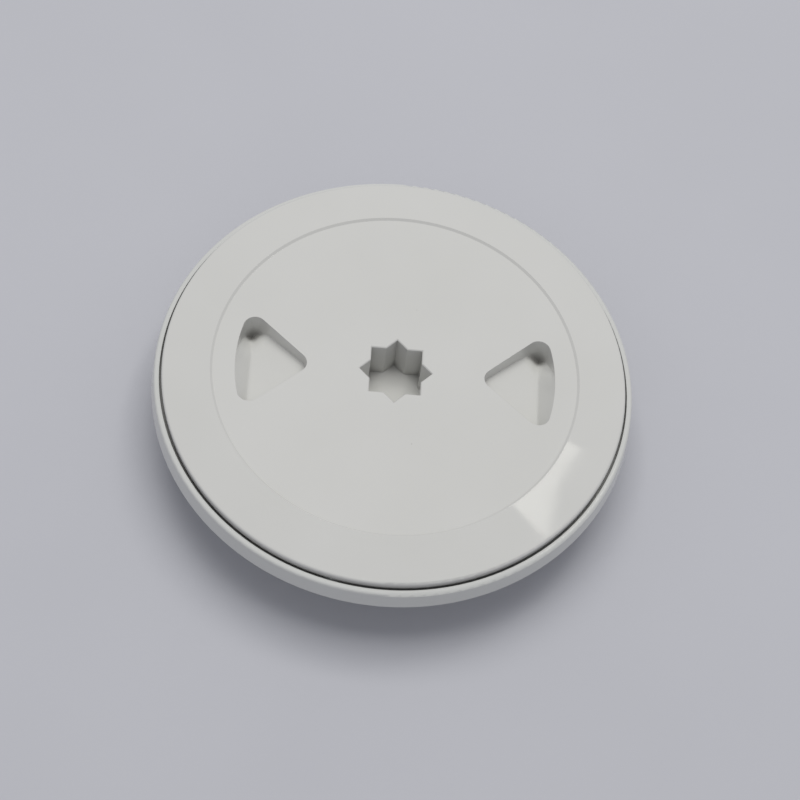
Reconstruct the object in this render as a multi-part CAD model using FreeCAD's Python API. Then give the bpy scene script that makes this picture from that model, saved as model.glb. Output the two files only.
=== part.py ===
import FreeCAD, Part
import math
import os

# Round screw-out deck inspection plate for a 5 inch opening, moulded in white plastic.
# Millimetres. Z points up out of the deck, Z = 0 is the deck's surface, where the flange lies,
# and the origin is on the axis of the ring. The closed cover's two finger pockets lie on X.

# Frame ring: the collar that drops through the deck, its flange, upstanding lip and seat
collar_outer_radius = 69.0
collar_wall = 3.2
collar_depth = 24.0
collar_end_bevel = 0.8
flange_width = 15.0
flange_side_draft = 0.9
flange_corner_round = 1.2
lip_height = 7.2
lip_width = 1.6
seat_height = 4.0

# Screw holes of the flange, under the edge of the cover
screw_count = 6
screw_from_collar = 6.5
screw_hole_radius = 2.6
screw_sink_radius = 4.8
screw_phase = 17.6

# Cover: recessed centre panel inside a gently sloping annulus
rim_gap = 1.1
cover_edge_top = 9.7
cover_edge_thickness = 2.8
cover_edge_round = 1.6
panel_inset = 0.3
panel_height = 11.4
panel_step = 0.7
panel_step_run = 0.8
panel_thickness = 3.0
shoulder_width = 4.2

# Threaded skirt of the cover
skirt_gap = 2.4
skirt_wall = 2.8
skirt_end_bevel = 0.6

# Coarse thread between skirt and collar
thread_pitch = 6.0
thread_turns = 1.5
thread_crest_clearance = 0.4
thread_play = 0.35
thread_flank_slope = 0.35
thread_run_out = 0.12
thread_start = 90.0
thread_root_sink = 0.6
thread_end_margin = 0.6
sections_per_turn = 24

# Flat sealing ring round the neck of the skirt, between the cover's shoulder and the rebate
# at the collar's mouth
seal_thickness = 2.8
seal_clearance = 0.15
rebate_width = 2.4
rebate_depth = 2.4

# Star socket: two squares turned by 45 degrees, for a square winch handle drive
star_square = 17.7
star_depth = 16.5
star_edge_bevel = 0.35
star_wall = 2.5

# Finger pockets: rounded triangles with a sloping outer wall and a plane floor that falls outwards
pocket_margin = 7.7
pocket_length = 26.7
pocket_half_angle = 41.1
pocket_corner_round = 4.1
pocket_tip_round = 4.0
pocket_tip_depth = 4.3
pocket_floor_angle = 6.6
pocket_outer_angle = 37.0
pocket_floor_round = 2.5
pocket_wall = 2.4

# Key well: the round hollow in the rear outer corner of each pocket, narrowing to its floor
well_from_corner = 1.0
well_depth = 16.0
well_floor_radius = 2.2
well_side_angle = 18.4
well_rim_round = 3.0

# Stiffening ribs under the panel
rib_count = 8
rib_thickness = 2.0
rib_height = 5.0

# Sizes that follow from those above
flange_radius = collar_outer_radius + flange_width
screw_circle_radius = collar_outer_radius + screw_from_collar
collar_bore_radius = collar_outer_radius - collar_wall
skirt_radius = collar_bore_radius - skirt_gap
panel_radius = skirt_radius - panel_inset
pocket_outer_radius = panel_radius - pocket_margin
pocket_tip = pocket_outer_radius - pocket_length
lip_inner_radius = flange_radius - flange_side_draft - lip_width
cover_radius = lip_inner_radius - rim_gap
annulus_height = panel_height + panel_step
panel_underside = panel_height - panel_thickness
skirt_inner_radius = skirt_radius - skirt_wall
rebate_height = seat_height - rebate_depth
rebate_radius = collar_bore_radius + rebate_width
seal_low = rebate_height + seal_clearance
shoulder_height = seal_low + seal_thickness + seal_clearance
seal_inner_radius = skirt_radius + seal_clearance
seal_outer_radius = rebate_radius - seal_clearance
thread_height = skirt_gap - thread_crest_clearance
thread_root_width = thread_pitch / 2 - thread_play + thread_flank_slope * skirt_gap
thread_end_reach = thread_root_width / 2 + thread_end_margin
collar_thread_low = rebate_height - thread_end_reach - thread_pitch * thread_turns
skirt_thread_low = collar_thread_low - thread_pitch / 2
skirt_bottom = skirt_thread_low - thread_end_reach

tolerance = 0.01
axis = FreeCAD.Vector(0, 0, 1)
centre = FreeCAD.Vector(0, 0, 0)


def section_point(radius, height):
    """A point of a section drawn in the XZ plane."""
    return FreeCAD.Vector(radius, 0, height)


def section_wire(corners):
    """Close a polygon in the XZ plane from corners given as radius and height.

    A corner may go on with "round" and a radius, or with "bevel" and its length along each side.
    """
    points = [section_point(corner[0], corner[1]) for corner in corners]
    cuts = []
    for i, here in enumerate(points):
        before = (points[i - 1] - here).normalize()
        after = (points[(i + 1) % len(points)] - here).normalize()
        finish = corners[i][2:]
        if not finish:
            cuts.append([here])
        elif finish[0] == "bevel":
            cuts.append([here + before * finish[1], here + after * finish[1]])
        else:
            half = before.getAngle(after) / 2
            reach = finish[1] / math.tan(half)
            inward = (before + after).normalize() * (finish[1] / math.sin(half) - finish[1])
            cuts.append([here + before * reach, here + inward, here + after * reach])
    edges = []
    for i, cut in enumerate(cuts):
        if len(cut) == 3:
            edges.append(Part.Arc(*cut))
        elif len(cut) == 2:
            edges.append(Part.LineSegment(*cut))
        edges.append(Part.LineSegment(cut[-1], cuts[(i + 1) % len(cuts)][0]))
    return Part.Wire([edge.toShape() for edge in edges])


def turned(corners):
    """Turn a closed section round the axis."""
    return Part.Face(section_wire(corners)).revolve(centre, axis, 360)


def thread_ridge(buried_radius, crest_radius, low_height):
    """Ridge of a coarse thread: a trapezium carried up a helix, sinking into its wall at both ends."""
    count = round(sections_per_turn * thread_turns)
    direction = math.copysign(1.0, crest_radius - buried_radius)
    root_half = thread_root_width / 2 + thread_flank_slope * thread_root_sink
    reach = abs(crest_radius - buried_radius)
    wires = []
    for i in range(count + 1):
        turn = thread_turns * i / count
        ends = min(turn, thread_turns - turn)
        share = min(1.0, thread_run_out + ends / (2 * thread_run_out) * (1 - thread_run_out))
        crest = buried_radius + direction * reach * share
        crest_half = root_half - thread_flank_slope * reach * share
        height = low_height + thread_pitch * turn
        corners = [
            section_point(buried_radius, height - root_half),
            section_point(crest, height - crest_half),
            section_point(crest, height + crest_half),
            section_point(buried_radius, height + root_half),
        ]
        wire = Part.makePolygon(corners + corners[:1])
        wire.rotate(centre, axis, thread_start + 360 * turn)
        wires.append(wire)
    return Part.makeLoft(wires, True)


def star_wire(side, height):
    """Eight-pointed star: the outline of two squares with the given side, one turned by 45 degrees."""
    tip = side / math.sqrt(2.0)
    notch = side / 2 / math.cos(math.pi / 8)
    points = []
    for i in range(16):
        radius = notch if i % 2 else tip
        turn = math.pi / 8 * i
        points.append(FreeCAD.Vector(radius * math.cos(turn), radius * math.sin(turn), height))
    return Part.makePolygon(points + points[:1])


def pocket_corner(height):
    """Centre of the round at the rear outer corner of the mouth of the finger pocket on +X."""
    half = math.radians(pocket_half_angle)
    base = pocket_tip + pocket_corner_round / math.sin(half)
    swing_radius = pocket_outer_radius - pocket_corner_round
    along = math.sqrt(swing_radius ** 2 - (base * math.sin(half)) ** 2) - base * math.cos(half)
    return FreeCAD.Vector(base + along * math.cos(half), along * math.sin(half), height)


def pocket_wire(height, wall):
    """Rounded triangle of a finger pocket's mouth on +X, or the same a wall's thickness wider."""
    half = math.radians(pocket_half_angle)
    corner = pocket_corner_round + wall
    tip_round = pocket_tip_round + wall
    tip = pocket_tip - wall / math.sin(half)
    outer = pocket_outer_radius + wall
    corner_centre = pocket_corner(height)
    tip_centre = FreeCAD.Vector(tip + tip_round / math.sin(half), 0, height)
    side_turn = math.pi / 2 + half
    outer_turn = math.atan2(corner_centre.y, corner_centre.x)

    def swing(middle, radius, turn):
        return middle + FreeCAD.Vector(radius * math.cos(turn), radius * math.sin(turn), 0)

    def mirrored(point):
        return FreeCAD.Vector(point.x, -point.y, point.z)

    tip_side = swing(tip_centre, tip_round, side_turn)
    side_corner = swing(corner_centre, corner, side_turn)
    corner_bend = swing(corner_centre, corner, (side_turn + outer_turn) / 2)
    corner_outer = swing(corner_centre, corner, outer_turn)
    edges = [
        Part.Arc(mirrored(tip_side), swing(tip_centre, tip_round, math.pi), tip_side),
        Part.LineSegment(tip_side, side_corner),
        Part.Arc(side_corner, corner_bend, corner_outer),
        Part.Arc(corner_outer, FreeCAD.Vector(outer, 0, height), mirrored(corner_outer)),
        Part.Arc(mirrored(corner_outer), mirrored(corner_bend), mirrored(side_corner)),
        Part.LineSegment(mirrored(side_corner), mirrored(tip_side)),
    ]
    return Part.Wire([edge.toShape() for edge in edges])


def pocket_prism(top, wall):
    """Upright body with the outline of the pocket's mouth, from a height down past the key well."""
    bottom = panel_height - well_depth - 2 * wall - 1
    return Part.Face(pocket_wire(bottom, wall)).extrude(axis * (top - bottom))


def pocket_body(top, wall):
    """One finger pocket: upright sides, a sloping outer wall and a plane floor, all a wall's thickness wider."""
    size = 2 * pocket_outer_radius
    floor = Part.makeBox(size, size, size, FreeCAD.Vector(-size / 2, -size / 2, 0))
    floor.rotate(centre, FreeCAD.Vector(0, 1, 0), pocket_floor_angle)
    floor.translate(FreeCAD.Vector(pocket_tip, 0, panel_height - pocket_tip_depth - wall))
    outer = pocket_outer_radius + wall
    run = well_depth * math.tan(math.radians(pocket_outer_angle))
    slope = Part.makeCone(outer - run, outer, well_depth, FreeCAD.Vector(0, 0, panel_height - well_depth))
    slope.rotate(centre, axis, 180)
    return pocket_prism(top, wall).common(floor).common(slope)


def well_body(top, wall):
    """Round body of the key well, narrowing to its floor, where it lies inside the pocket's mouth."""
    depth = well_depth + wall
    place = pocket_corner(panel_height - depth) + FreeCAD.Vector(well_from_corner, 0, 0)
    floor_radius = well_floor_radius + wall
    mouth_radius = floor_radius + depth * math.tan(math.radians(well_side_angle))
    return pocket_prism(top, wall).common(Part.makeCone(floor_radius, mouth_radius, depth, place))


def faces_at(edge, shape):
    """Faces of a shape that meet at one of its edges."""
    return [face for face in shape.Faces if any(edge.isSame(other) for other in face.Edges)]


def is_upright(face):
    """Whether a face stands upright at its middle."""
    first_low, first_high, second_low, second_high = face.ParameterRange
    normal = face.normalAt((first_low + first_high) / 2, (second_low + second_high) / 2)
    return abs(normal.z) < tolerance


def is_well_side(face):
    """Whether a face is the tapering side of the key well."""
    if not isinstance(face.Surface, Part.Cone):
        return False
    return abs(face.Surface.Center.y - pocket_corner(0).y) < tolerance


def pocket_hollow():
    """Space of one finger pocket with its key well, rounded along the floor's edge and the well's rim."""
    bowl = pocket_body(panel_height, 0)
    foot = []
    for edge in bowl.Edges:
        upright = [is_upright(face) for face in faces_at(edge, bowl)]
        if sorted(upright) == [False, True] and edge.BoundBox.ZMax < panel_height - tolerance:
            foot.append(edge)
    hollow = bowl.makeFillet(pocket_floor_round, foot).fuse(well_body(panel_height, 0))
    rim = []
    for edge in hollow.Edges:
        faces = faces_at(edge, hollow)
        sides = [is_well_side(face) for face in faces]
        if sorted(sides) == [False, True] and not any(is_upright(face) for face in faces):
            if edge.BoundBox.ZMin > panel_height - well_depth + tolerance:
                rim.append(edge)
    return hollow.makeFillet(well_rim_round, rim)


def pocket_cup():
    """Outside of the cup that carries one pocket and its key well under the panel."""
    top = panel_underside + panel_thickness / 2
    return pocket_body(top, pocket_wall).fuse(well_body(top, pocket_wall))


def star_hollow():
    """Space of the star socket, bevelled at its mouth."""
    mouth = panel_height + star_edge_bevel
    wide = star_square + 4 * star_edge_bevel
    bevel_end = panel_height - star_edge_bevel
    floor = panel_height - star_depth
    bevel = Part.makeLoft([star_wire(wide, mouth), star_wire(star_square, bevel_end)], True, True)
    shaft = Part.Face(star_wire(star_square, floor)).extrude(axis * (bevel_end - floor))
    return bevel.fuse(shaft).removeSplitter()


def star_cup():
    """Outside of the star socket's cup under the panel."""
    floor = panel_height - star_depth - star_wall
    outline = star_wire(star_square + 2 * star_wall, floor)
    return Part.Face(outline).extrude(axis * (panel_underside + panel_thickness / 2 - floor))


def ribs():
    """Radial ribs from the star's cup to the skirt."""
    shapes = []
    for i in range(rib_count):
        rib = Part.makeBox(
            skirt_inner_radius + skirt_wall / 2,
            rib_thickness,
            rib_height + panel_thickness / 2,
            FreeCAD.Vector(0, -rib_thickness / 2, panel_underside - rib_height),
        )
        rib.rotate(centre, axis, 360 * i / rib_count)
        shapes.append(rib)
    return shapes


def cover_body():
    """Panel, annulus, shoulder and skirt as one turned section."""
    step_top = panel_radius + panel_step_run
    shoulder_radius = skirt_radius + shoulder_width
    annulus_slope = (annulus_height - cover_edge_top) / (cover_radius - step_top)
    edge_underside = cover_edge_top - cover_edge_thickness
    inner_underside = edge_underside + annulus_slope * (cover_radius - shoulder_radius)
    return turned([
        (0, panel_underside),
        (0, panel_height),
        (panel_radius, panel_height),
        (step_top, annulus_height),
        (cover_radius, cover_edge_top, "round", cover_edge_round),
        (cover_radius, edge_underside),
        (shoulder_radius, inner_underside),
        (shoulder_radius, shoulder_height),
        (skirt_radius, shoulder_height),
        (skirt_radius, skirt_bottom, "bevel", skirt_end_bevel),
        (skirt_inner_radius, skirt_bottom),
        (skirt_inner_radius, panel_underside),
    ])


def build_cover():
    """Cover in one moulding: disc, threaded skirt, two pocket cups, star cup and ribs."""
    across = FreeCAD.Vector(1, 0, 0)
    cup = pocket_cup()
    hollow = pocket_hollow()
    ridge = thread_ridge(
        skirt_radius - thread_root_sink, skirt_radius + thread_height, skirt_thread_low
    )
    body = cover_body().fuse([cup, cup.mirror(centre, across), star_cup()] + ribs())
    body = body.fuse(ridge).removeSplitter()
    return body.cut([hollow, hollow.mirror(centre, across), star_hollow()])


def screw_hole():
    """Countersunk hole for one flat-headed screw, on +X."""
    sink_depth = screw_sink_radius - screw_hole_radius
    shank = Part.makeCylinder(screw_hole_radius, seat_height)
    sink = Part.makeCone(
        screw_hole_radius, screw_sink_radius, sink_depth, FreeCAD.Vector(0, 0, seat_height - sink_depth)
    )
    hole = shank.fuse(sink)
    hole.translate(FreeCAD.Vector(screw_circle_radius, 0, 0))
    return hole


def build_frame_ring():
    """Frame ring in one moulding: flange with lip and seat, and threaded collar rebated at its mouth."""
    side_top = flange_radius - flange_side_draft
    ring = turned([
        (collar_bore_radius, -collar_depth),
        (collar_outer_radius, -collar_depth, "bevel", collar_end_bevel),
        (collar_outer_radius, 0),
        (flange_radius, 0),
        (side_top, lip_height, "round", flange_corner_round),
        (lip_inner_radius, lip_height),
        (lip_inner_radius, seat_height),
        (rebate_radius, seat_height),
        (rebate_radius, rebate_height),
        (collar_bore_radius, rebate_height),
    ])
    ridge = thread_ridge(
        collar_bore_radius + thread_root_sink, collar_bore_radius - thread_height, collar_thread_low
    )
    ring = ring.fuse(ridge).removeSplitter()
    holes = []
    for i in range(screw_count):
        hole = screw_hole()
        hole.rotate(centre, axis, screw_phase + 360 * i / screw_count)
        holes.append(hole)
    return ring.cut(holes)


def build_seal():
    """Flat sealing ring, in its free height."""
    seal_top = seal_low + seal_thickness
    return turned([
        (seal_inner_radius, seal_low),
        (seal_outer_radius, seal_low),
        (seal_outer_radius, seal_top),
        (seal_inner_radius, seal_top),
    ])


def main():
    """Write each piece to its own file."""
    os.makedirs("parts", exist_ok=True)
    pieces = {
        "frame_ring": build_frame_ring(),
        "cover": build_cover(),
        "sealing_ring": build_seal(),
    }
    for name, shape in pieces.items():
        shape.exportStep("parts/" + name + ".step")
        print(name, "solids", len(shape.Solids), "valid", shape.isValid(), "volume", round(shape.Volume))
    print("thread lift", thread_pitch * thread_turns)


main()
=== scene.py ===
import math

import bmesh
import bpy
import numpy as np
from mathutils import Matrix, Vector


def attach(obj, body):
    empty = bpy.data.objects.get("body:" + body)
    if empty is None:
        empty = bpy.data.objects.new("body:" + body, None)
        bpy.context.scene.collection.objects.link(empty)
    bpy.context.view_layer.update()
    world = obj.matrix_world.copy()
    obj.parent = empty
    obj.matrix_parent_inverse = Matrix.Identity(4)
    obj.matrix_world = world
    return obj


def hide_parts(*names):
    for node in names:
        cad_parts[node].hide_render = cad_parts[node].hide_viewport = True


# Screw-out deck inspection plate, lying closed on a sheet of pale paper.
# Metres. Z = 0 is the underside of the flange, and the axis of the ring is Z.
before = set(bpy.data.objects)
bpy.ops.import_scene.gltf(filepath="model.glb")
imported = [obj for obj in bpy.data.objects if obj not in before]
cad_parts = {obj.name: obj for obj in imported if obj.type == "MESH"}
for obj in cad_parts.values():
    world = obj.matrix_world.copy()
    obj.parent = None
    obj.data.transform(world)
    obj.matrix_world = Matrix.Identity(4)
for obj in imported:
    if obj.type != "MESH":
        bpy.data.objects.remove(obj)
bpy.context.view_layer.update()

MM = 0.001

# Camera: the place from which the photograph looks, found from the rim and the panel's edge
PHOTO_SIZE = 800
SENSOR = 36.0
FOCAL_PIXELS = 1989.8
CAMERA_ELEVATION = math.radians(59.3161)
CAMERA_TURN = math.radians(-5.3765)
CAMERA_ROLL = math.radians(9.4841)
CAMERA_DISTANCE = 0.6862
PANEL_CENTRE_PIXEL = (395.8665, 370.5502)

# Sizes that the solids have
PANEL_HEIGHT = 11.4 * MM
COLLAR_DEPTH = 24.0 * MM
COVER_RADIUS = 80.4 * MM
COVER_EDGE_TOP = 9.7 * MM
LIP_INNER_RADIUS = 81.5 * MM
SEAT_HEIGHT = 4.0 * MM
MOUTH_OUTER_RADIUS = 55.4 * MM

# Edge of the cover and gap beside it, as fine as the photograph shows them
MERGE_DISTANCE = 0.001 * MM
EDGE_ROUND_REACH = 1.9 * MM
EDGE_ROUND_SCALE = 0.55
LIP_SHIFT = 0.25 * MM
CREASE = math.radians(32)
FLAT_JOIN = math.radians(1.5)
AREA_STEP = 4
BROAD_FACE = 4 * MM * MM

# Finger pocket: floor falling outwards, outer wall running down to a straight foot
FLOOR_START = 28.7 * MM
FLOOR_START_DEPTH = 4.3 * MM
FLOOR_FALL = math.tan(math.radians(6.6))
FOOT_LINE = 50.3 * MM
WALL_DRAFT = math.tan(math.radians(4.0))
WALL_BLEND = 2.2 * MM
FOOT_BLEND = 0.7 * MM
MOUTH_FADE = 1.0 * MM

# Key well: the hollow in the rear outer corner, a funnel with a tail along the foot of the outer wall,
# and the narrow pit in its middle
WELL_CENTRE = (50.6 * MM, 15.8 * MM)
WELL_DEPTH = 10.6 * MM
WELL_FALL = 1.25
WELL_ACROSS = 0.81
WELL_TAIL = 0.42
WELL_SOFTNESS = 1.2 * MM
WELL_RIM_BLEND = 2.0 * MM
PIT_CENTRE = (51.1 * MM, 15.6 * MM)
PIT_DEPTH = 12.0 * MM
PIT_FALL = 1.9
PIT_LENGTH = 1.4
PIT_RIM_BLEND = 2.0 * MM
BORDER_STEP = 0.6 * MM

# Rows of points inside a pocket: distances from the mouth in millimetres, and the count of the rest
NEAR_ROWS = (0.03, 0.06, 0.09, 0.13, 0.17, 0.22, 0.28, 0.34, 0.41, 0.5, 0.6, 0.72, 0.86, 1.02, 1.2, 1.4,
             1.65, 1.95, 2.3, 2.7, 3.2, 3.8)
FAR_ROWS = 14

# Plastic: sizes of its patterns, and depths of the relief in its reflections
TONE_SPREAD = 35 * MM
SPECK_SPACING = 7 * MM
# Painted shade in corners and gaps: how far the occlusion looks, and how much it darkens the colour
CORNER_SHADE_REACH = 5.0 * MM
CORNER_SHADE_SHARE = 0.55
HAIRLINE_TURN = 0.6
HAIRLINE_GRID = (60 * MM, 0.9 * MM, 30 * MM)
HAIRLINE_ROUGHNESS = 0.03
POLISH_SPREAD = 12 * MM
POLISH_RANGE = (0.035, 0.06)
TOOL_EDGE_RADIUS = 0.22 * MM
WAVE_LENGTH = 25 * MM
WAVE_DEPTH = 0.007 * MM
PEEL_WIDTH = 1.4 * MM
PEEL_DEPTH = 0.0012 * MM
PLASTIC_IOR = 1.5

# Rubber and paper: sizes of their patterns
BLOOM_SPREAD = 9 * MM
RUBBER_POLISH_SPREAD = 3 * MM
RUBBER_GRAIN = 0.5 * MM
RUBBER_GRAIN_DEPTH = 0.02 * MM
PAPER_CLOUD = 120 * MM
PAPER_FELT = 1.0 * MM
PAPER_FELT_DEPTH = 0.03 * MM
PAPER_HALF_WIDTH = 1.5

# Light
SURROUND_STRENGTH = 0.38
LAMP_DISTANCE = 1.5


def linear(code):
    """Linear colour of an sRGB hex code: each channel's display curve undone."""
    channels = np.array([int(code[i:i + 2], 16) for i in (1, 3, 5)]) / 255
    low = channels / 12.92
    high = ((channels + 0.055) / 1.055) ** 2.4
    return (*np.where(channels <= 0.04045, low, high).tolist(), 1.0)


def add_node(material, kind, links=None, **settings):
    """Adds a node, sets its properties and inputs by name, and links inputs from other nodes' outputs."""
    node = material.node_tree.nodes.new(kind)
    for name, value in settings.items():
        setattr(node, name, value)
    for name, source in (links or {}).items():
        if isinstance(source, bpy.types.NodeSocket):
            material.node_tree.links.new(source, node.inputs[name])
        else:
            node.inputs[name].default_value = source
    return node


def new_material(name):
    """An empty node material with its shader."""
    material = bpy.data.materials.new(name)
    material.use_nodes = True
    return material, material.node_tree.nodes["Principled BSDF"]


def link(material, source, shader, name):
    """Feeds one of the shader's inputs."""
    material.node_tree.links.new(source, shader.inputs[name])


def mapped(material, source, low, high, to_low, to_high):
    """A value carried smoothly from one range to another and held at its ends."""
    node = add_node(material, "ShaderNodeMapRange", interpolation_type="SMOOTHSTEP", links={
        "Value": source, "From Min": low, "From Max": high, "To Min": to_low, "To Max": to_high,
    })
    return node.outputs["Result"]


def blended(material, amount, first, second):
    """Colour between two colours, each a hex code or another node's output."""
    sides = [linear(side) if isinstance(side, str) else side for side in (first, second)]
    node = add_node(material, "ShaderNodeMix", data_type="RGBA")
    for socket, value in ((node.inputs[0], amount), (node.inputs[6], sides[0]), (node.inputs[7], sides[1])):
        if isinstance(value, bpy.types.NodeSocket):
            material.node_tree.links.new(value, socket)
        else:
            socket.default_value = value
    return node.outputs[2]


def noise(material, place, grain, detail=2.0, roughness=0.5):
    """Soft noise whose features are about one grain across."""
    node = add_node(material, "ShaderNodeTexNoise", links={
        "Vector": place, "Scale": 1 / grain, "Detail": detail, "Roughness": roughness,
    })
    return node.outputs["Fac"]


def moulded_plastic(name, clean, shaded):
    """White ASA, injection moulded in a polished tool: glossy, with faint waves and a fine orange peel
    in its reflections, hairline handling marks, a few dust specks, and painted shade where two faces meet."""
    material, shader = new_material(name)
    place = add_node(material, "ShaderNodeTexCoord").outputs["Object"]
    body = blended(material, noise(material, place, TONE_SPREAD, 3.0), clean, shaded)

    # Dust specks about 0.3 mm across, in a few of the pattern's cells
    cells = add_node(material, "ShaderNodeTexVoronoi", links={"Vector": place, "Scale": 1 / SPECK_SPACING})
    near = mapped(material, cells.outputs["Distance"], 0.018, 0.03, 1.0, 0.0)
    parts = add_node(material, "ShaderNodeSeparateColor", links={"Color": cells.outputs["Color"]})
    chosen = mapped(material, parts.outputs["Red"], 0.86, 0.88, 0.0, 0.6)
    speck = add_node(material, "ShaderNodeMath", operation="MULTIPLY", links={0: near, 1: chosen})
    dusty = blended(material, speck.outputs[0], body, "#8d8981")

    # Painted shade: an ambient occlusion mask darkens the colour in corners narrower than a few millimetres
    open_part = add_node(material, "ShaderNodeAmbientOcclusion", samples=6, links={"Distance": CORNER_SHADE_REACH})
    painted_corner_shade = mapped(material, open_part.outputs["AO"], 0.1, 0.75, CORNER_SHADE_SHARE, 0.0)
    link(material, blended(material, painted_corner_shade, dusty, "#57534b"), shader, "Base Color")

    # Hairline marks lie across the plate, a millimetre apart and drawn about as wide as one can see
    turned = add_node(material, "ShaderNodeMapping", links={
        "Vector": place,
        "Rotation": (0.0, 0.0, HAIRLINE_TURN),
        "Scale": tuple(1 / size for size in HAIRLINE_GRID),
    })
    streaks = add_node(material, "ShaderNodeTexNoise", links={
        "Vector": turned.outputs["Vector"], "Scale": 1.0, "Detail": 1.0,
    })
    mark = mapped(material, streaks.outputs["Fac"], 0.7, 0.76, 0.0, HAIRLINE_ROUGHNESS)
    cloud = mapped(material, noise(material, place, POLISH_SPREAD, 3.0), 0.3, 0.7, *POLISH_RANGE)
    rough = add_node(material, "ShaderNodeMath", operation="ADD", links={0: mark, 1: cloud})
    link(material, rough.outputs[0], shader, "Roughness")

    # Edges rounded as a tool's edges are, then long waves and a fine orange peel
    rounded = add_node(material, "ShaderNodeBevel", samples=6, links={"Radius": TOOL_EDGE_RADIUS})
    waves = add_node(material, "ShaderNodeBump", links={
        "Height": noise(material, place, WAVE_LENGTH, 1.0), "Distance": WAVE_DEPTH, "Strength": 1.0,
        "Normal": rounded.outputs["Normal"],
    })
    peel = add_node(material, "ShaderNodeBump", links={
        "Height": noise(material, place, PEEL_WIDTH, 2.0), "Distance": PEEL_DEPTH, "Strength": 1.0,
        "Normal": waves.outputs["Normal"],
    })
    link(material, peel.outputs["Normal"], shader, "Normal")
    shader.inputs["IOR"].default_value = PLASTIC_IOR
    return material


def nitrile_rubber():
    """Black nitrile rubber, compression moulded: dull, with a grey bloom and a fine sandy grain."""
    material, shader = new_material("black nitrile rubber")
    place = add_node(material, "ShaderNodeTexCoord").outputs["Object"]
    bloom = mapped(material, noise(material, place, BLOOM_SPREAD, 4.0), 0.4, 0.75, 0.0, 0.5)
    link(material, blended(material, bloom, "#161617", "#2e2e30"), shader, "Base Color")
    rough = mapped(material, noise(material, place, RUBBER_POLISH_SPREAD, 3.0), 0.3, 0.7, 0.48, 0.7)
    link(material, rough, shader, "Roughness")
    grain = add_node(material, "ShaderNodeBump", links={
        "Height": noise(material, place, RUBBER_GRAIN, 3.0), "Distance": RUBBER_GRAIN_DEPTH, "Strength": 0.6,
    })
    link(material, grain.outputs["Normal"], shader, "Normal")
    return material


def drawing_paper():
    """Pale bluish paper: matt, with a cloudy tone and a felt grain that only shows close by."""
    material, shader = new_material("pale paper")
    place = add_node(material, "ShaderNodeTexCoord").outputs["Object"]
    tone = noise(material, place, PAPER_CLOUD, 3.0)
    link(material, blended(material, tone, "#c4c5cb", "#cacbd1"), shader, "Base Color")
    felt = add_node(material, "ShaderNodeBump", links={
        "Height": noise(material, place, PAPER_FELT, 4.0, 0.65), "Distance": PAPER_FELT_DEPTH, "Strength": 0.5,
    })
    link(material, felt.outputs["Normal"], shader, "Normal")
    shader.inputs["Roughness"].default_value = 0.9
    shader.inputs["Specular IOR Level"].default_value = 0.25
    return material


def dress(piece, material):
    """Gives a piece its one material."""
    piece.data.materials.clear()
    piece.data.materials.append(material)


def merged(node_name):
    """A CAD piece's mesh with its loose triangles joined, as an editable copy."""
    shape = bmesh.new()
    shape.from_mesh(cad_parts[node_name].data)
    bmesh.ops.remove_doubles(shape, verts=shape.verts, dist=MERGE_DISTANCE)
    return shape


def places(shape):
    """Coordinates of all points of an editable mesh, as one array."""
    return np.array([point.co for point in shape.verts])


def move_to(shape, spots):
    """Puts the points of an editable mesh where an array says."""
    for point, spot in zip(shape.verts, spots):
        point.co = spot


def pull_edge(shape):
    """Draws the cover's round edge together towards its sharp corner, which makes its radius smaller."""
    spots = places(shape)
    radius = np.hypot(spots[:, 0], spots[:, 1])
    on_edge = (radius > COVER_RADIUS - EDGE_ROUND_REACH) & (spots[:, 2] > COVER_EDGE_TOP - EDGE_ROUND_REACH)
    wanted = COVER_RADIUS + (radius - COVER_RADIUS) * EDGE_ROUND_SCALE
    factor = np.where(on_edge, wanted / np.maximum(radius, MM), 1.0)
    spots[:, :2] *= factor[:, None]
    heights = COVER_EDGE_TOP + (spots[:, 2] - COVER_EDGE_TOP) * EDGE_ROUND_SCALE
    spots[:, 2] = np.where(on_edge, heights, spots[:, 2])
    move_to(shape, spots)


def narrow_gap():
    """Copy of the frame ring with the inner wall of the flange's lip moved towards the cover."""
    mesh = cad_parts["frame_ring"].data.copy()
    spots = np.empty(len(mesh.vertices) * 3, dtype=np.float32)
    mesh.vertices.foreach_get("co", spots)
    spots = spots.reshape(-1, 3)
    radius = np.hypot(spots[:, 0], spots[:, 1])
    on_lip = (abs(radius - LIP_INNER_RADIUS) < LIP_SHIFT) & (spots[:, 2] > SEAT_HEIGHT - LIP_SHIFT)
    factor = np.where(on_lip, (radius - LIP_SHIFT) / np.maximum(radius, MM), 1.0)
    spots[:, :2] *= factor[:, None]
    mesh.vertices.foreach_set("co", spots.ravel())
    mesh.update()
    return mesh


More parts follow.
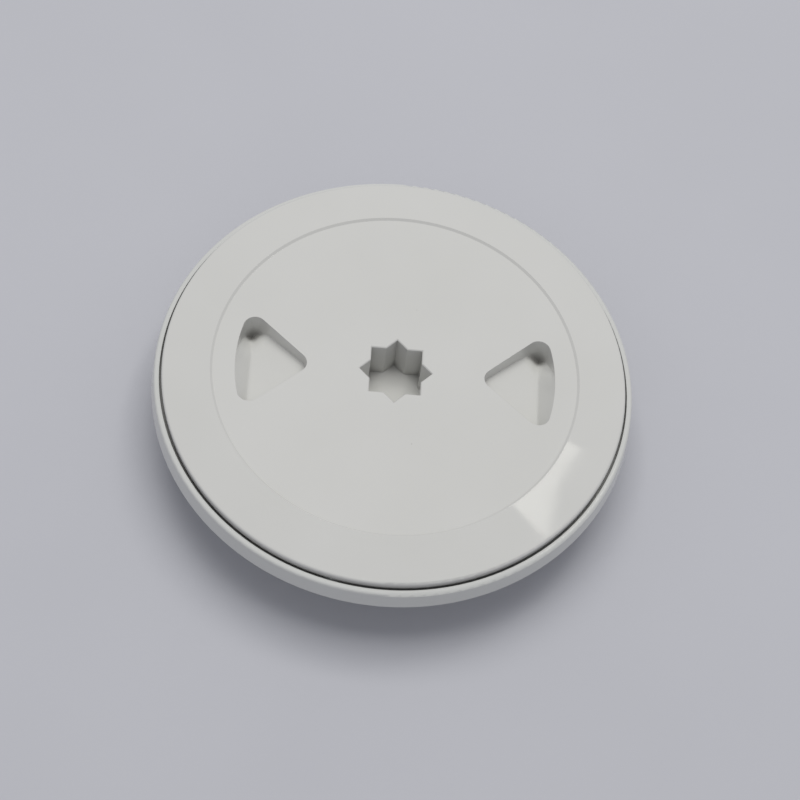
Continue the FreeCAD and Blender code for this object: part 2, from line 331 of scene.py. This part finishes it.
def open_mouth(shape, side):
    """Takes a pocket's hollow out of the cover and returns the points of its mouth in order.

    The mouth is the closed line of panel edges whose other face goes down; all that hangs on it inside
    is taken away. Long straight edges of the mouth are divided first.
    """
    def on_panel(point):
        return abs(point.co.z - PANEL_HEIGHT) < MERGE_DISTANCE

    def find_mouth():
        found = []
        for edge in shape.edges:
            if all(on_panel(point) for point in edge.verts):
                flat = [all(on_panel(point) for point in face.verts) for face in edge.link_faces]
                middle = (edge.verts[0].co + edge.verts[1].co) / 2
                inside = side * middle.x > FLOOR_START - MM and middle.xy.length < MOUTH_OUTER_RADIUS + MM
                if sorted(flat) == [False, True] and inside:
                    found.append(edge)
        return found

    for edge in find_mouth():
        pieces = int(edge.calc_length() / BORDER_STEP)
        if pieces > 1:
            bmesh.ops.subdivide_edges(shape, edges=[edge], cuts=pieces - 1)
    mouth = find_mouth()
    border = set(mouth)
    front = [face for edge in mouth for face in edge.link_faces if not all(on_panel(p) for p in face.verts)]
    hollow = set(front)
    while front:
        face = front.pop()
        for edge in face.edges:
            if edge not in border:
                for other in edge.link_faces:
                    if other not in hollow:
                        hollow.add(other)
                        front.append(other)
    bmesh.ops.delete(shape, geom=list(hollow), context="FACES")
    ring = [mouth[0].verts[0], mouth[0].verts[1]]
    while True:
        onward = [edge for edge in ring[-1].link_edges if edge in border and ring[-2] not in edge.verts]
        following = onward[0].other_vert(ring[-1])
        if following is ring[0]:
            return ring
        ring.append(following)


def border_distance(x, y, ring):
    """Distance of each place from a closed line of points, by its nearest stretch."""
    start = ring[:, :2]
    along = np.roll(start, -1, axis=0) - start
    offset = np.stack([x, y], axis=-1)[..., None, :] - start
    share = np.clip((offset * along).sum(-1) / (along ** 2).sum(-1), 0, 1)
    return np.sqrt(((offset - share[..., None] * along) ** 2).sum(-1)).min(-1)


def soft_lower(first, second, blend):
    """The smaller of two depths, rounded over where they are nearer to each other than the blend."""
    share = np.maximum(blend - abs(first - second), 0) / np.maximum(blend, MERGE_DISTANCE)
    return np.minimum(first, second) - share ** 2 * blend / 4


def pocket_depth(x, y, wall):
    """Depth of a pocket below the panel at a place in plan, for the pocket on +X.

    The floor is a plane that falls outwards. The outer wall runs from the mouth's arc straight down to
    a straight foot. The key well is a funnel: its depth falls evenly with the distance from its middle,
    measured across the pocket and, towards the front, along it, so that it ends in a tail at the foot.
    The pit is a steep cone, longer along the pocket's outer wall than across. The smaller of outer wall
    and floor, and the larger of that, the well and the pit, are taken with soft changes, and the nearly
    upright side wall holds all of it.
    """
    floor = FLOOR_START_DEPTH + (x - FLOOR_START) * FLOOR_FALL
    arc = np.sqrt(MOUTH_OUTER_RADIUS ** 2 - y ** 2)
    outer = floor * np.maximum(arc - x, 0) / (arc - FOOT_LINE)
    fade = np.clip(outer / MOUTH_FADE, 0, 1)
    basin = soft_lower(outer, floor, FOOT_BLEND * fade)
    across = np.sqrt((x - WELL_CENTRE[0]) ** 2 + WELL_SOFTNESS ** 2) - WELL_SOFTNESS
    tail = np.maximum(WELL_CENTRE[1] - y, 0)
    well = WELL_DEPTH - WELL_FALL * (WELL_ACROSS * across + WELL_TAIL * tail)
    deeper = -soft_lower(-basin, -well, WELL_RIM_BLEND * fade)
    pit = PIT_DEPTH - PIT_FALL * np.hypot(x - PIT_CENTRE[0], (y - PIT_CENTRE[1]) / PIT_LENGTH)
    deeper = -soft_lower(-deeper, -pit, PIT_RIM_BLEND * fade)
    side = wall / WALL_DRAFT
    fade = np.clip(np.minimum(side, deeper) / MOUTH_FADE, 0, 1)
    return np.maximum(soft_lower(side, deeper, WALL_BLEND * fade), 0)


def line_pocket(shape, side):
    """Closes a pocket's mouth with its hollow, a grid of rows that follow the mouth inwards.

    Each row is the mouth drawn in towards its middle by a share that gives the wanted distance from the
    mouth; the last rows share what is left evenly, and one point closes the middle.
    """
    ring = open_mouth(shape, side)
    mouth = np.array([point.co for point in ring])
    mouth[:, 0] *= side
    middle = mouth.mean(axis=0)
    along = np.roll(mouth, -1, axis=0) - np.roll(mouth, 1, axis=0)
    across = np.stack([-along[:, 1], along[:, 0]], axis=1) / np.hypot(along[:, 0], along[:, 1])[:, None]
    reach = abs(((middle - mouth)[:, :2] * across).sum(1))
    near = np.array(NEAR_ROWS)[:, None] * MM / reach
    far = near[-1] + (1 - near[-1]) * (np.arange(1, FAR_ROWS)[:, None] / FAR_ROWS)
    share = np.concatenate([near, far])[:, :, None]
    rows = mouth[:, :2] + share * (middle[:2] - mouth[:, :2])
    x, y = rows[..., 0], rows[..., 1]
    depth = pocket_depth(x, y, border_distance(x, y, mouth))
    centre_depth = pocket_depth(*middle[:2], border_distance(*middle[:2], mouth))
    grid = [ring]
    for i in range(len(rows)):
        grid.append([
            shape.verts.new((side * px, py, PANEL_HEIGHT - d)) for px, py, d in zip(x[i], y[i], depth[i])
        ])
    centre = shape.verts.new((side * middle[0], middle[1], PANEL_HEIGHT - float(centre_depth)))
    for outer, inner in zip(grid, grid[1:]):
        for k in range(len(ring)):
            shape.faces.new((outer[k - 1], outer[k], inner[k], inner[k - 1]))
    for k in range(len(ring)):
        shape.faces.new((grid[-1][k - 1], grid[-1][k], centre))


def smooth_mesh(shape):
    """Mesh of an editable one, facing outwards, smooth but for its sharp edges.

    An edge is sharp past the crease angle, and also where a broad face meets the first narrow face of a
    rounding, so that the broad face keeps its own even reflections. Normals that came with the CAD mesh
    are dropped, because its points have moved.
    """
    bmesh.ops.recalc_face_normals(shape, faces=shape.faces)
    for face in shape.faces:
        face.smooth = True
    for edge in shape.edges:
        angle = edge.calc_face_angle(0.0)
        areas = sorted(face.calc_area() for face in edge.link_faces)
        uneven = areas[-1] > AREA_STEP * areas[0] and areas[-1] > BROAD_FACE
        edge.smooth = angle < CREASE and not (uneven and angle > FLAT_JOIN)
    mesh = bpy.data.meshes.new("smooth")
    shape.to_mesh(mesh)
    shape.free()
    imported = mesh.attributes.get("custom_normal")
    if imported:
        mesh.attributes.remove(imported)
    return mesh


def stand_for(mesh, name, node_name, body, material):
    """Shows a mesh as a piece that stands for a CAD piece."""
    mesh.name = name
    piece = bpy.data.objects.new(name, mesh)
    bpy.context.scene.collection.objects.link(piece)
    dress(piece, material)
    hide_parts(node_name)
    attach(piece, body)


def area_lamp(name, turn, elevation, tilt, width, height, power, colour):
    """Lamp facing the plate, with its angles in degrees.

    Turn goes from the rear towards the right, and tilt turns the lamp about its beam.
    """
    turn, elevation = math.radians(turn), math.radians(elevation)
    place = LAMP_DISTANCE * Vector((
        math.sin(turn) * math.cos(elevation),
        math.cos(turn) * math.cos(elevation),
        math.sin(elevation),
    ))
    lamp = bpy.data.lights.new(name, "AREA")
    lamp.shape = "RECTANGLE"
    lamp.size = width
    lamp.size_y = height
    lamp.energy = power
    lamp.color = linear(colour)[:3]
    holder = bpy.data.objects.new(name, lamp)
    facing = place.to_track_quat("Z", "Y").to_matrix().to_4x4()
    holder.matrix_world = Matrix.Translation(place) @ facing @ Matrix.Rotation(math.radians(tilt), 4, "Z")
    bpy.context.scene.collection.objects.link(holder)
    return holder


def photo_camera():
    """Camera whose picture of the panel's centre falls where the photograph has it."""
    right = Vector((math.cos(CAMERA_TURN), math.sin(CAMERA_TURN), 0.0))
    back = Vector((
        math.sin(CAMERA_TURN) * math.cos(CAMERA_ELEVATION),
        -math.cos(CAMERA_TURN) * math.cos(CAMERA_ELEVATION),
        math.sin(CAMERA_ELEVATION),
    ))
    up = back.cross(right)
    across = math.cos(CAMERA_ROLL) * right + math.sin(CAMERA_ROLL) * up
    upward = math.cos(CAMERA_ROLL) * up - math.sin(CAMERA_ROLL) * right
    aside = (PANEL_CENTRE_PIXEL[0] - PHOTO_SIZE / 2) / FOCAL_PIXELS * CAMERA_DISTANCE
    below = (PANEL_CENTRE_PIXEL[1] - PHOTO_SIZE / 2) / FOCAL_PIXELS * CAMERA_DISTANCE
    place = Vector((0, 0, PANEL_HEIGHT)) - across * aside + upward * below + back * CAMERA_DISTANCE
    lens = bpy.data.cameras.new("photo_camera")
    lens.sensor_width = SENSOR
    lens.lens = FOCAL_PIXELS * SENSOR / PHOTO_SIZE
    holder = bpy.data.objects.new("photo_camera", lens)
    holder.matrix_world = Matrix((
        (across.x, upward.x, back.x, place.x),
        (across.y, upward.y, back.y, place.y),
        (across.z, upward.z, back.z, place.z),
        (0, 0, 0, 1),
    ))
    bpy.context.scene.collection.objects.link(holder)
    bpy.context.scene.camera = holder


def paper_floor():
    """The pale sheet that the collar stands on."""
    half = PAPER_HALF_WIDTH
    mesh = bpy.data.meshes.new("paper")
    corners = [(-half, -half), (half, -half), (half, half), (-half, half)]
    mesh.from_pydata([(x, y, -COLLAR_DEPTH) for x, y in corners], [], [(0, 1, 2, 3)])
    sheet = bpy.data.objects.new("paper", mesh)
    bpy.context.scene.collection.objects.link(sheet)
    dress(sheet, drawing_paper())


def soft_light():
    """A dim white surround, one large lamp behind the plate and a small one that makes its glint."""
    world = bpy.data.worlds.new("surround")
    bpy.context.scene.world = world
    world.use_nodes = True
    sky = world.node_tree.nodes["Background"]
    sky.inputs["Color"].default_value = linear("#f7f8ff")
    sky.inputs["Strength"].default_value = SURROUND_STRENGTH
    ceiling = area_lamp(
        "ceiling_lamp", turn=4, elevation=79, tilt=0, width=1.0, height=1.0, power=12.4, colour="#fffefb"
    )
    ceiling.visible_glossy = False
    area_lamp(
        "window_glint", turn=43.9, elevation=62.9, tilt=18, width=0.2, height=0.3, power=0.65, colour="#fffdf4"
    )


cover_plastic = moulded_plastic("glossy white ASA of the cover", "#dadad7", "#d4d4d0")
ring_plastic = moulded_plastic("glossy white ASA of the frame ring", "#d9dad7", "#d3d4d1")
dress(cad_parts["sealing_ring"], nitrile_rubber())

cover = merged("cover")
pull_edge(cover)
line_pocket(cover, 1)
line_pocket(cover, -1)
stand_for(smooth_mesh(cover), "cover_moulding", "cover", "lid", cover_plastic)
stand_for(narrow_gap(), "frame_ring_moulding", "frame_ring", "frame", ring_plastic)

photo_camera()
paper_floor()
soft_light()

bpy.context.scene.view_settings.view_transform = "Standard"
